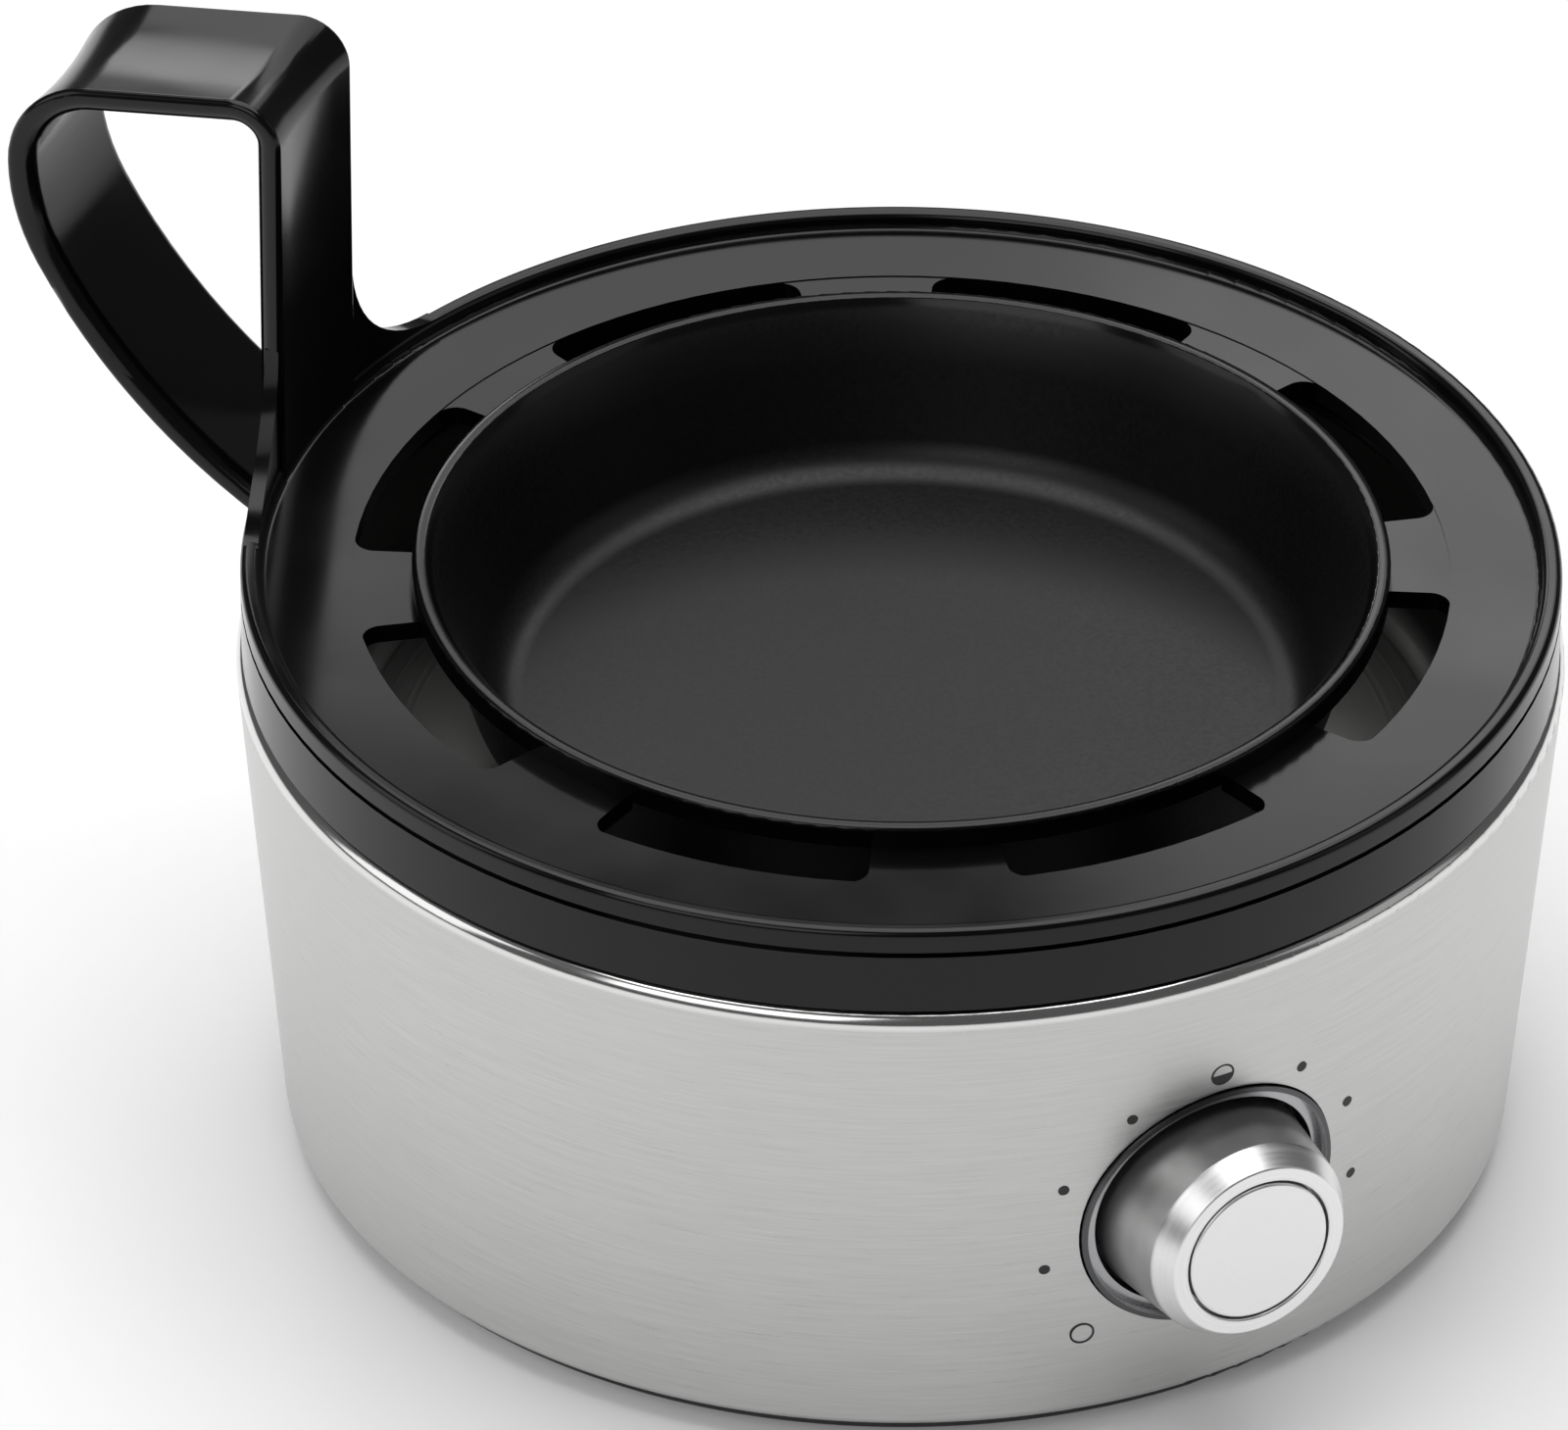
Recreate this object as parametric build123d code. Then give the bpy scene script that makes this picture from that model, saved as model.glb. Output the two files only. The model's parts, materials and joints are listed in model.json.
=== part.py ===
from build123d import *
import math
import os

# Electric egg cooker, millimetres, +Z up. The origin is the centre of the foot ring on the table,
# the dial faces -Y and the cord gland +Y.

# Steel body
shell_height = 63.7
shell_top_radius = 80.85
shell_foot_radius = 75.45
shell_wall = 0.8
shoulder_round = 2.0
shell_foot_round = 1.6
foot_flange_width = 7.3

# Bottom cover and foot ring
foot_height = 1.5
foot_ring_width = 6.0
foot_ring_inset = 10.8
foot_groove_depth = 0.9
cover_rim_height = 1.7
cover_setback = 2.05
cover_edge_round = 0.5
cover_floor = 2.4
spigot_height = 3.0
spigot_wall = 1.6
vent_count = 6
vent_width = 2.0
vent_length = 16.0
vent_pitch = 5.0

# Ties between cover and pan
tie_count = 4
post_radius = 5.5
stud_radius = 3.5
stud_length = 11.4
stud_bore_depth = 9.5
screw_radius = 1.5
screw_head_radius = 3.4
screw_head_height = 2.4
screw_seat_height = 3.9
screw_reach = 8.0

# Heating pan and what is fixed under it
seal_thickness = 0.8
pan_wall = 0.9
pan_flange_width = 4.8
pan_depth = 20.0
pan_floor_round = 5.0
pan_gap = 2.0
spreader_thickness = 2.5
element_inset = 10.0
element_tube_radius = 3.3
element_flat = 0.4
element_gap_angle = 34.0
pin_radius = 1.6
pin_length = 15.0
bush_radius = 3.0
bush_flange_width = 1.2
bush_flange_height = 1.0
bush_drop = 2.0
thermostat_radius = 7.5
thermostat_height = 3.8
thermostat_flange = 0.8
thermostat_flange_width = 1.5
terminal_thickness = 0.8
terminal_width = 4.0
terminal_length = 3.3
fuse_radius = 2.0
fuse_length = 14.0
clip_wall = 0.6
clip_length = 6.0
clip_foot_width = 4.0
shield_wall = 0.6
shield_overlap = 6.0
shield_gap = 2.25
shield_rim_height = 4.9

# Carrier ring
rim_setback = 0.85
rim_height = 11.54
skirt_wall = 2.4
lip_height = 2.1
lip_round = 0.9
seam_drop = 2.9
seam_width = 0.7
seam_depth = 0.6
ring_width = 13.4
ring_wall = 2.2
ring_corner_round = 0.8
rib_wall = 2.0
window_count = 8
window_width = 7.35
window_angle = 30.3
window_offset_angle = 3.25
window_round = 2.5
tab_drop = 0.15
tab_wall = 2.4

# Carrier handle
handle_angle = 129.4
strap_width = 22.5
strap_thickness = 3.4
strap_outer_round = 0.9
strap_inner_round = 2.2
strap_hollow = 0.7
post_setback = 1.6
post_rise = 49.5
corner_radius = 4.2
top_length = 18.95
top_fall_angle = 9.0
bend_radius = 11.0
turn_radius = 26.8
turn_angle = 29.0
return_radius = 77.0
return_angle = 32.5
foot_fillet = 17.0
strap_end_share = 0.7
web_inset = 0.3

# Poaching dish
dish_height = 22.0
dish_proud = 0.6
dish_wall = 1.6
dish_ledge = 2.2
dish_taper = 5.8
dish_foot_round = 7.0
dish_rim_round = 0.6

# Dial bezel and control
dial_height_share = 0.4443
bezel_radius = 17.0
bezel_rim = 0.7
bezel_proud = 0.5
bezel_ledge_drop = 1.2
bezel_floor_round = 0.9
bezel_depth = 4.5
bezel_floor = 1.2
bezel_post_offset = 13.0
bezel_post_radius = 2.5
control_width = 17.0
control_depth = 8.0
control_back_wall = 1.1
control_bush_radius = 3.5
control_bush_length = 4.2
nut_width = 10.0
nut_height = 2.0

# Knob and push button
knob_base_radius = 14.3
knob_edge_radius = 13.2
knob_face_radius = 11.5
knob_length = 14.4
knob_bevel = 3.0
knob_sink = 3.2
knob_wall = 1.2
knob_front_wall = 2.7
knob_edge_round = 0.35
knob_running_gap = 0.6
shaft_radius = 3.0
shaft_reach = 3.0
hub_radius = 5.0
hub_start = 1.0
hub_web = 1.8
button_radius = 9.3
button_gap = 0.3
button_flange_width = 1.5
button_flange = 1.4
button_travel = 1.5
button_round = 0.4
stem_radius = 1.2
dome_wall = 1.0
dome_fall = 3.8

# Control board and what it carries
board_width = 60.0
board_lift = 6.6
board_top_gap = 3.2
board_thickness = 1.6
board_gap = 4.3
board_screw_radius = 1.0
board_screw_head_radius = 2.2
board_screw_head_height = 1.4
board_screw_length = 9.0
slot_post_width = 8.0
slot_post_depth = 6.0
slot_post_offset = 20.0
slot_depth = 2.2
switch_width = 6.0
switch_height = 1.4
switch_button_radius = 1.7
switch_button_height = 0.6
relay_width = 19.0
relay_depth = 15.0
relay_offset = 17.0
relay_gap = 0.3
relay_room = 1.3
capacitor_radius = 5.0
capacitor_length = 16.0
capacitor_offset = 12.0
capacitor_lift = 8.0
buzzer_radius = 6.0
buzzer_height = 2.5
buzzer_gap = 1.0
connector_width = 12.0
connector_height = 6.0
connector_depth = 8.0

# Supply side
gland_height = 12.8
gland_bore_radius = 3.3
gland_body_radius = 6.0
gland_flange_radius = 8.5
gland_flange = 2.7
gland_inner_length = 8.0
gland_nut_radius = 9.0
gland_nut_height = 2.4
terminal_block_width = 30.0
terminal_block_depth = 12.0
terminal_block_height = 10.0
lead_radius = 1.2
lead_spread = 3.0
lead_bend_radius = 3.6

# Clearances
running_clearance = 0.05
slip_clearance = 0.1
fit_clearance = 0.2
loose_clearance = 0.4
skirt_clearance = 0.8
lift_gap = 0.3
overrun = 2.0

# Heights of the stack, from the table up
cover_bottom = foot_height
shell_bottom = cover_bottom + cover_rim_height
shell_top = shell_bottom + shell_height
floor_top = cover_bottom + cover_floor
pan_flange_bottom = shell_top + seal_thickness
pan_top = pan_flange_bottom + pan_wall
pan_floor_top = pan_top - pan_depth
pan_underside = pan_floor_top - pan_wall
spreader_bottom = pan_underside - spreader_thickness
shield_top = pan_underside - stud_length
shield_bottom = shield_top - shield_wall
dial_z = shell_bottom + shell_height * dial_height_share
gland_z = shell_bottom + gland_height
skirt_bottom = shell_top + lift_gap
rim_top = shell_top + rim_height
ring_top = rim_top - lip_height
tab_top = ring_top - tab_drop
dish_top = rim_top + dish_proud
dish_bottom = dish_top - dish_height
board_low = floor_top + board_lift
board_top = pan_underside - board_top_gap
slot_top = board_low + slot_depth


def wall_radius(height):
    """Outer radius of the steel cone at a height above the table."""
    climb = (height - shell_bottom) / shell_height
    return shell_foot_radius + (shell_top_radius - shell_foot_radius) * climb


# Places along the dial's axis, counted outwards from the steel wall
dial_radius = wall_radius(dial_z)
bezel_back = -bezel_depth - bezel_floor
control_back = bezel_back - control_depth
board_front = control_back - board_gap
board_back = board_front - board_thickness
switch_top = board_front + switch_height + switch_button_height
knob_back = -knob_sink
knob_front = knob_back + knob_length
knob_inside = knob_front - knob_front_wall
cap_flange_front = knob_inside - fit_clearance
cap_flange_back = cap_flange_front - button_flange
stem_end = switch_top + button_travel + fit_clearance

# Radii that follow one another
rim_radius = shell_top_radius - rim_setback
skirt_inner_radius = rim_radius - skirt_wall
pan_flange_radius = skirt_inner_radius - skirt_clearance
pan_radius = pan_flange_radius - pan_flange_width
shell_flange_radius = pan_radius + pan_gap
foot_flange_radius = shell_foot_radius - foot_flange_width
cover_radius = shell_foot_radius - cover_setback
spigot_radius = foot_flange_radius - loose_clearance
foot_ring_radius = cover_radius - foot_ring_inset
shield_radius = dial_radius + board_back - shield_gap
tie_circle_radius = shield_radius - shield_overlap
spreader_radius = tie_circle_radius - stud_radius - loose_clearance
element_radius = spreader_radius - element_inset
ring_inner_radius = rim_radius - ring_width
dish_radius = ring_inner_radius - window_width
dish_body_radius = dish_radius - dish_ledge
tab_inner_radius = dish_body_radius + loose_clearance
screw_bore_radius = screw_radius + fit_clearance

dial_plane = Plane(origin=(0, -dial_radius, dial_z), x_dir=(1, 0, 0), z_dir=(0, -1, 0))
gland_plane = Plane(origin=(0, wall_radius(gland_z), gland_z), x_dir=(-1, 0, 0), z_dir=(0, 1, 0))


def turned(*corners):
    """Solid turned about Z from (radius, height) corners, each with an optional round."""
    points = [corner[:2] for corner in corners]
    rounds = [corner[2] if len(corner) > 2 else 0 for corner in corners]
    outline = FilletPolyline(*points, radius=rounds, close=True)
    return revolve(Plane.XZ * make_face(outline), axis=Axis.Z)


def rod(radius, low, high):
    """Cylinder on the Z axis between two heights."""
    align = (Align.CENTER, Align.CENTER, Align.MIN)
    return Pos(0, 0, low) * Cylinder(radius, high - low, align=align)


def tube(radius, bore, low, high):
    """Cylinder with a through bore."""
    return rod(radius, low, high) - rod(bore, low, high)


def block(width, depth, low, high):
    """Box on the Z axis between two heights."""
    align = (Align.CENTER, Align.CENTER, Align.MIN)
    return Pos(0, 0, low) * Box(width, depth, high - low, align=align)


def polar(count, radius, start=0):
    """Places evenly spaced on a circle about Z."""
    return [Rot(0, 0, start + 360 * i / count) * Pos(radius, 0, 0) for i in range(count)]


def wire(points, radius):
    """Round lead along straight runs with rounded corners."""
    path = FilletPolyline(*points, radius=lead_bend_radius)
    return sweep(Plane(origin=path @ 0, z_dir=path % 0) * Circle(radius), path=path)


tie_places = polar(tie_count, tie_circle_radius, 180 / tie_count)


def make_outer_shell():
    """Drawn steel cone with a flange turned in at both ends, cut for the dial and the gland."""
    inner_top = shell_top - shell_wall
    inner_bottom = shell_bottom + shell_wall
    shell = turned(
        (foot_flange_radius, shell_bottom),
        (shell_foot_radius, shell_bottom, shell_foot_round),
        (shell_top_radius, shell_top, shoulder_round),
        (shell_flange_radius, shell_top),
        (shell_flange_radius, inner_top),
        (wall_radius(inner_top) - shell_wall, inner_top, shoulder_round - shell_wall),
        (wall_radius(inner_bottom) - shell_wall, inner_bottom, shell_foot_round - shell_wall),
        (foot_flange_radius, inner_bottom),
    )
    dial_hole = rod(bezel_radius + fit_clearance, -bezel_radius, bezel_radius)
    gland_hole = rod(gland_body_radius + fit_clearance, -gland_body_radius, gland_body_radius)
    return shell - dial_plane * dial_hole - gland_plane * gland_hole


def make_bottom_cover():
    """Moulded cover with the posts that tie it to the pan and the slots that hold the board."""
    spigot_top = shell_bottom + spigot_height
    cover = turned(
        (0, cover_bottom),
        (cover_radius, cover_bottom, cover_edge_round),
        (cover_radius, shell_bottom),
        (spigot_radius, shell_bottom),
        (spigot_radius, spigot_top),
        (spigot_radius - spigot_wall, spigot_top),
        (spigot_radius - spigot_wall, floor_top),
        (0, floor_top),
    )
    groove_top = cover_bottom + foot_groove_depth
    outer = foot_ring_radius + slip_clearance
    inner = foot_ring_radius - foot_ring_width - slip_clearance
    cover -= tube(outer, inner, cover_bottom, groove_top)
    seat = cover_bottom + screw_seat_height
    for place in tie_places:
        cover += place * rod(post_radius, floor_top, shield_bottom)
    for place in tie_places:
        cover -= place * rod(screw_bore_radius, cover_bottom, shield_bottom)
        cover -= place * rod(screw_head_radius + fit_clearance, cover_bottom, seat)
    board_y = -dial_radius - (board_front + board_back) / 2
    for side in (-1, 1):
        place = Pos(side * slot_post_offset, board_y, 0)
        cover += place * block(slot_post_width, slot_post_depth, floor_top, slot_top)
        slot = block(slot_post_width, board_thickness + fit_clearance, board_low, slot_top)
        cover -= place * slot
    for i in range(vent_count):
        place = Pos(0, (i - (vent_count - 1) / 2) * vent_pitch, 0)
        cover -= place * block(vent_length, vent_width, cover_bottom, floor_top)
    return cover


def make_foot_ring():
    """Rubber ring that the cooker stands on."""
    inner = foot_ring_radius - foot_ring_width
    return tube(foot_ring_radius, inner, 0, cover_bottom + foot_groove_depth)


def make_tie_screws():
    """Screws from under the cover up into the pan's studs."""
    seat = cover_bottom + screw_seat_height
    head = rod(screw_head_radius, seat - screw_head_height, seat)
    screw = head + rod(screw_radius, seat, shield_top + screw_reach)
    return Compound([place * screw for place in tie_places])


def make_pan_studs():
    """Threaded studs brazed under the pan."""
    stud = rod(stud_radius, shield_top, pan_underside)
    stud -= rod(screw_radius + slip_clearance, shield_top, shield_top + stud_bore_depth)
    return Compound([place * stud for place in tie_places])


def make_pan_seal():
    """Flat silicone ring between the shell's flange and the pan's."""
    return tube(pan_flange_radius, shell_flange_radius, shell_top, pan_flange_bottom)


def make_heating_pan():
    """Pressed pan that holds the water, hung from its flange."""
    return turned(
        (0, pan_underside),
        (pan_radius, pan_underside, pan_floor_round + pan_wall),
        (pan_radius, pan_flange_bottom),
        (pan_flange_radius, pan_flange_bottom),
        (pan_flange_radius, pan_top),
        (pan_radius - pan_wall, pan_top, pan_wall),
        (pan_radius - pan_wall, pan_floor_top, pan_floor_round),
        (0, pan_floor_top),
    )


def make_heat_spreader():
    """Aluminium disc between the element and the pan's floor."""
    return rod(spreader_radius, spreader_bottom, pan_underside)


def pin_places():
    """Where the element's two cold pins go down."""
    turns = (90 - element_gap_angle / 2, 90 + element_gap_angle / 2)
    return [Rot(0, 0, turn) * Pos(element_radius, 0, 0) for turn in turns]


def make_heating_element():
    """Open ring of flattened tube, with a cold pin down from each end."""
    middle = spreader_bottom - element_tube_radius + element_flat
    section = Plane.XZ * Pos(element_radius, middle) * Circle(element_tube_radius)
    ring = revolve(section, axis=Axis.Z, revolution_arc=360 - element_gap_angle)
    ring = Rot(0, 0, 90 + element_gap_angle / 2) * ring
    flat_side = 4 * element_radius
    ring -= block(flat_side, flat_side, spreader_bottom, pan_underside)
    for place in pin_places():
        ring += place * rod(pin_radius, middle - pin_length, middle)
    return ring


def make_pin_bushes():
    """Ceramic bushes that keep the pins clear of the shield."""
    flange_radius = bush_radius + bush_flange_width
    bush = rod(bush_radius, shield_bottom - bush_drop, shield_top)
    bush += rod(flange_radius, shield_top, shield_top + bush_flange_height)
    bush -= rod(pin_radius + slip_clearance, shield_bottom - bush_drop, shield_top + bush_flange_height)
    return Compound([place * bush for place in pin_places()])


def make_thermostat():
    """Disc thermostat held against the middle of the spreader."""
    flange_bottom = spreader_bottom - thermostat_flange
    body_bottom = flange_bottom - thermostat_height
    body = rod(thermostat_radius + thermostat_flange_width, flange_bottom, spreader_bottom)
    body += rod(thermostat_radius, body_bottom, flange_bottom)
    for side in (-1, 1):
        tab = block(terminal_thickness, terminal_width, body_bottom - terminal_length, body_bottom)
        body += Pos(side * thermostat_radius / 2, 0, 0) * tab
    return body


fuse_place = Pos(spreader_radius / 2, 0, 0)
fuse_z = spreader_bottom - fuse_radius - slip_clearance


def make_thermal_fuse():
    """Thermal fuse lying under the spreader."""
    return fuse_place * Pos(0, 0, fuse_z) * Rot(90, 0, 0) * Cylinder(fuse_radius, fuse_length)


def make_fuse_clip():
    """Bent strip that holds the fuse up against the spreader."""
    hollow = fuse_radius + slip_clearance
    outside = hollow + clip_wall
    low = fuse_z - outside
    clip = block(2 * outside, clip_length, low, spreader_bottom)
    clip -= block(2 * hollow, clip_length, low + clip_wall, spreader_bottom)
    foot = block(clip_foot_width, clip_length, spreader_bottom - clip_wall, spreader_bottom)
    for side in (-1, 1):
        clip += Pos(side * (hollow + clip_foot_width / 2), 0, 0) * foot
    return fuse_place * clip


def make_heat_shield():
    """Sheet tray clamped between the posts and the studs, above the electronics."""
    rim_height_top = shield_bottom + shield_rim_height
    shield = turned(
        (0, shield_bottom),
        (shield_radius, shield_bottom),
        (shield_radius, rim_height_top),
        (shield_radius - shield_wall, rim_height_top),
        (shield_radius - shield_wall, shield_top),
        (0, shield_top),
    )
    for place in tie_places:
        shield -= place * rod(screw_bore_radius, shield_bottom, shield_top)
    for place in pin_places():
        shield -= place * rod(bush_radius + slip_clearance, shield_bottom, shield_top)
    return shield


def wall_cone(proud):
    """Cone that stands proud of the steel wall by a distance, high enough to trim the bezel."""
    low = dial_z - 2 * bezel_radius
    high = dial_z + 2 * bezel_radius
    return turned(
        (0, low),
        (wall_radius(low) + proud, low),
        (wall_radius(high) + proud, high),
        (0, high),
    )


def make_dial_bezel():
    """Gloss cup round the knob, its rim and ledge cut to follow the steel wall, with posts for the board."""
    throat = knob_base_radius + knob_running_gap
    cup = turned(
        (control_bush_radius + slip_clearance, bezel_back),
        (bezel_radius, bezel_back),
        (bezel_radius, bezel_radius),
        (throat, bezel_radius),
        (throat, -bezel_depth, bezel_floor_round),
        (control_bush_radius + slip_clearance, -bezel_depth),
    )
    recess = rod(bezel_radius - bezel_rim, -bezel_depth, bezel_radius)
    bezel = dial_plane * cup & wall_cone(bezel_proud)
    bezel -= dial_plane * recess - wall_cone(bezel_proud - bezel_ledge_drop)
    for side in (-1, 1):
        place = dial_plane * Pos(side * bezel_post_offset, 0, 0)
        bezel += place * rod(bezel_post_radius, board_front, bezel_back)
        screw_end = board_back + board_screw_length
        bezel -= place * rod(board_screw_radius + slip_clearance, board_front, screw_end)
    return bezel


def make_dial_control():
    """Rotary control behind the bezel, bored for the hollow shaft and the button's stem."""
    bush_end = bezel_back + control_bush_length
    shaft_end = control_back + control_back_wall
    body = block(control_width, control_width, control_back, bezel_back)
    body += rod(control_bush_radius, bezel_back, bush_end)
    body -= rod(shaft_radius + running_clearance, shaft_end, bush_end)
    body -= rod(stem_radius + loose_clearance, control_back, shaft_end)
    return dial_plane * body


def make_control_nut():
    """Hexagon nut that clamps the control to the bezel's floor."""
    hexagon = RegularPolygon(nut_width / 2, 6, major_radius=False)
    nut = extrude(Pos(0, 0, -bezel_depth) * hexagon, nut_height)
    nut -= rod(control_bush_radius + slip_clearance, -bezel_depth, nut_height - bezel_depth)
    return dial_plane * nut


def make_dial_shaft():
    """Hollow shaft that the knob turns."""
    start = control_back + control_back_wall + slip_clearance
    return dial_plane * tube(shaft_radius, stem_radius + slip_clearance, start, shaft_reach)


def make_knob_hub():
    """Moulded insert that joins the knob to the shaft."""
    bore = shaft_radius + running_clearance
    hub = rod(hub_radius, -hub_start, shaft_reach)
    hub += rod(knob_edge_radius - knob_wall - slip_clearance, shaft_reach - hub_web, shaft_reach)
    hub -= rod(bore, -hub_start, shaft_reach)
    return dial_plane * hub


def make_knob():
    """Turned aluminium knob, open at the back and bored at the front for the button."""
    hollow = knob_edge_radius - knob_wall
    bore = button_radius + button_gap
    knob = turned(
        (hollow, knob_back),
        (knob_base_radius, knob_back, knob_edge_round),
        (knob_edge_radius, knob_front - knob_bevel, knob_edge_round),
        (knob_face_radius, knob_front, knob_edge_round),
        (bore, knob_front, knob_edge_round),
        (bore, knob_inside),
        (hollow, knob_inside),
    )
    return dial_plane * knob


def make_button_cap():
    """Metal button in the middle of the knob, held in by its flange."""
    flange_radius = button_radius + button_flange_width
    cap = turned(
        (0, cap_flange_back),
        (flange_radius, cap_flange_back),
        (flange_radius, cap_flange_front),
        (button_radius, cap_flange_front),
        (button_radius, knob_front, button_round),
        (0, knob_front),
    )
    return dial_plane * cap


def make_button_stem():
    """Rod from the button through the shaft to the switch."""
    return dial_plane * rod(stem_radius, stem_end, cap_flange_back)


def make_return_dome():
    """Silicone cone that pushes the button back out."""
    wide = button_radius
    dome = turned(
        (wide - dome_wall, shaft_reach),
        (wide, shaft_reach),
        (wide - dome_fall, cap_flange_back),
        (wide - dome_fall - dome_wall, cap_flange_back),
    )
    return dial_plane * dome


def on_board(offset, height):
    """Place on the board, at an offset from the dial's axis and a height above the table."""
    return dial_plane * Pos(offset, height - dial_z, 0)


def make_control_board():
    """Circuit board on the bezel's posts, its lower edge in the cover's slots."""
    board = block(board_width, board_top - board_low, board_back, board_front)
    board = on_board(0, (board_top + board_low) / 2) * board
    for side in (-1, 1):
        hole = rod(board_screw_radius + slip_clearance, board_back, board_front)
        board -= on_board(side * bezel_post_offset, dial_z) * hole
    return board


def make_board_screws():
    """Screws through the board into the bezel's posts."""
    screw = rod(board_screw_head_radius, board_back - board_screw_head_height, board_back)
    screw += rod(board_screw_radius, board_back, board_back + board_screw_length - fit_clearance)
    return Compound([on_board(side * bezel_post_offset, dial_z) * screw for side in (-1, 1)])


def make_start_switch():
    """Small switch on the board that the stem presses."""
    body_top = board_front + switch_height
    switch = block(switch_width, switch_width, board_front, body_top)
    return dial_plane * (switch + rod(switch_button_radius, body_top, switch_top))


def make_relay():
    """Relay that switches the element."""
    low = slot_top + relay_gap
    height = dial_z - board_screw_head_radius - relay_room - low
    relay = block(relay_width, height, board_back - relay_depth, board_back)
    return on_board(-relay_offset, low + height / 2) * relay


def make_capacitor():
    """Capacitor of the board's supply."""
    can = rod(capacitor_radius, board_back - capacitor_length, board_back)
    return on_board(capacitor_offset, board_low + capacitor_lift) * can


def make_buzzer():
    """Buzzer that sounds when the eggs are done."""
    disc = rod(buzzer_radius, board_back - buzzer_height, board_back)
    offset = capacitor_offset + capacitor_radius + buzzer_gap + buzzer_radius
    return on_board(offset, (board_top + board_low) / 2) * disc


def make_board_connector():
    """Socket where the supply leads meet the board."""
    socket = block(connector_width, connector_height, board_back - connector_depth, board_back)
    return on_board(0, board_low + connector_height / 2) * socket


def make_cord_gland():
    """Bush in the back of the shell that a supply cord passes through."""
    widest = max(wall_radius(gland_z + side * gland_flange_radius) for side in (-1, 1))
    flange_back = widest - wall_radius(gland_z) + slip_clearance
    gland = rod(gland_body_radius, -gland_inner_length, flange_back)
    gland += rod(gland_flange_radius, flange_back, flange_back + gland_flange)
    gland -= rod(gland_bore_radius, -gland_inner_length, flange_back + gland_flange)
    return gland_plane * gland


def make_gland_nut():
    """Ring nut that holds the gland from inside the shell."""
    inside = min(wall_radius(gland_z + side * gland_nut_radius) for side in (-1, 1)) - shell_wall
    sag = inside - math.sqrt(inside**2 - gland_nut_radius**2)
    top = inside - sag - wall_radius(gland_z) - slip_clearance
    bore = gland_body_radius + slip_clearance
    return gland_plane * tube(gland_nut_radius, bore, top - gland_nut_height, top)


block_y = element_radius * math.cos(math.radians(element_gap_angle / 2))
block_top = floor_top + terminal_block_height


def make_terminal_block():
    """Terminal block on the cover, under the element's pins."""
    terminals = block(terminal_block_width, terminal_block_depth, floor_top, block_top)
    return Pos(0, block_y, 0) * terminals


def make_heater_leads():
    """Sleeved risers from the terminal block to the element's pins."""
    middle = spreader_bottom - element_tube_radius + element_flat
    riser = rod(pin_radius, block_top, middle - pin_length)
    return Compound([place * riser for place in pin_places()])


def make_supply_leads():
    """Leads along the floor from the terminal block to the board."""
    start_y = -dial_radius - board_back + connector_depth
    start_z = board_low + connector_height / 2
    end_y = block_y - terminal_block_depth / 2
    low_z = floor_top + lead_radius + fit_clearance
    step = 2 * lead_bend_radius
    leads = []
    for side in (-1, 1):
        x = side * lead_spread
        points = [
            (x, start_y, start_z),
            (x, start_y + step, start_z),
            (x, start_y + 2 * step, low_z),
            (x, end_y, low_z),
        ]
        leads.append(wire(points, lead_radius))
    return Compound(leads)


def carrier_ring():
    """Skirt, lip, flat ring and the web that the windows are cut from."""
    lip_inner = rim_radius - skirt_wall
    rib_outer = pan_flange_radius - rib_wall
    rib_inner = rib_outer - rib_wall
    ring_under = ring_top - ring_wall
    tab_under = tab_top - tab_wall
    return turned(
        (rim_radius, skirt_bottom),
        (rim_radius, rim_top, lip_round),
        (lip_inner, rim_top, lip_round),
        (lip_inner, ring_top, ring_corner_round),
        (ring_inner_radius, ring_top),
        (ring_inner_radius, tab_top),
        (tab_inner_radius, tab_top),
        (tab_inner_radius, tab_under),
        (rib_inner, tab_under),
        (rib_inner, pan_top),
        (rib_outer, pan_top),
        (rib_outer, ring_under),
        (skirt_inner_radius, ring_under),
        (skirt_inner_radius, skirt_bottom),
    )


def window():
    """Steam window between two tabs, rounded at its outer corners."""
    half = math.radians(window_angle / 2)
    inner = tab_inner_radius - overrun
    outer_corner = (ring_inner_radius * math.cos(half), ring_inner_radius * math.sin(half))
    inner_corner = (inner * math.cos(half), inner * math.sin(half))
    low_outer = (outer_corner[0], -outer_corner[1])
    low_inner = (inner_corner[0], -inner_corner[1])
    outline = Curve() + [
        Line(low_inner, low_outer),
        ThreePointArc(low_outer, (ring_inner_radius, 0), outer_corner),
        Line(outer_corner, inner_corner),
        ThreePointArc(inner_corner, (inner, 0), low_inner),
    ]
    face = make_face(outline)
    corners = face.vertices().sort_by(Axis.X)[-2:]
    face = fillet(corners, window_round)
    return extrude(Pos(0, 0, tab_top - tab_wall) * face, tab_wall)


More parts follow.
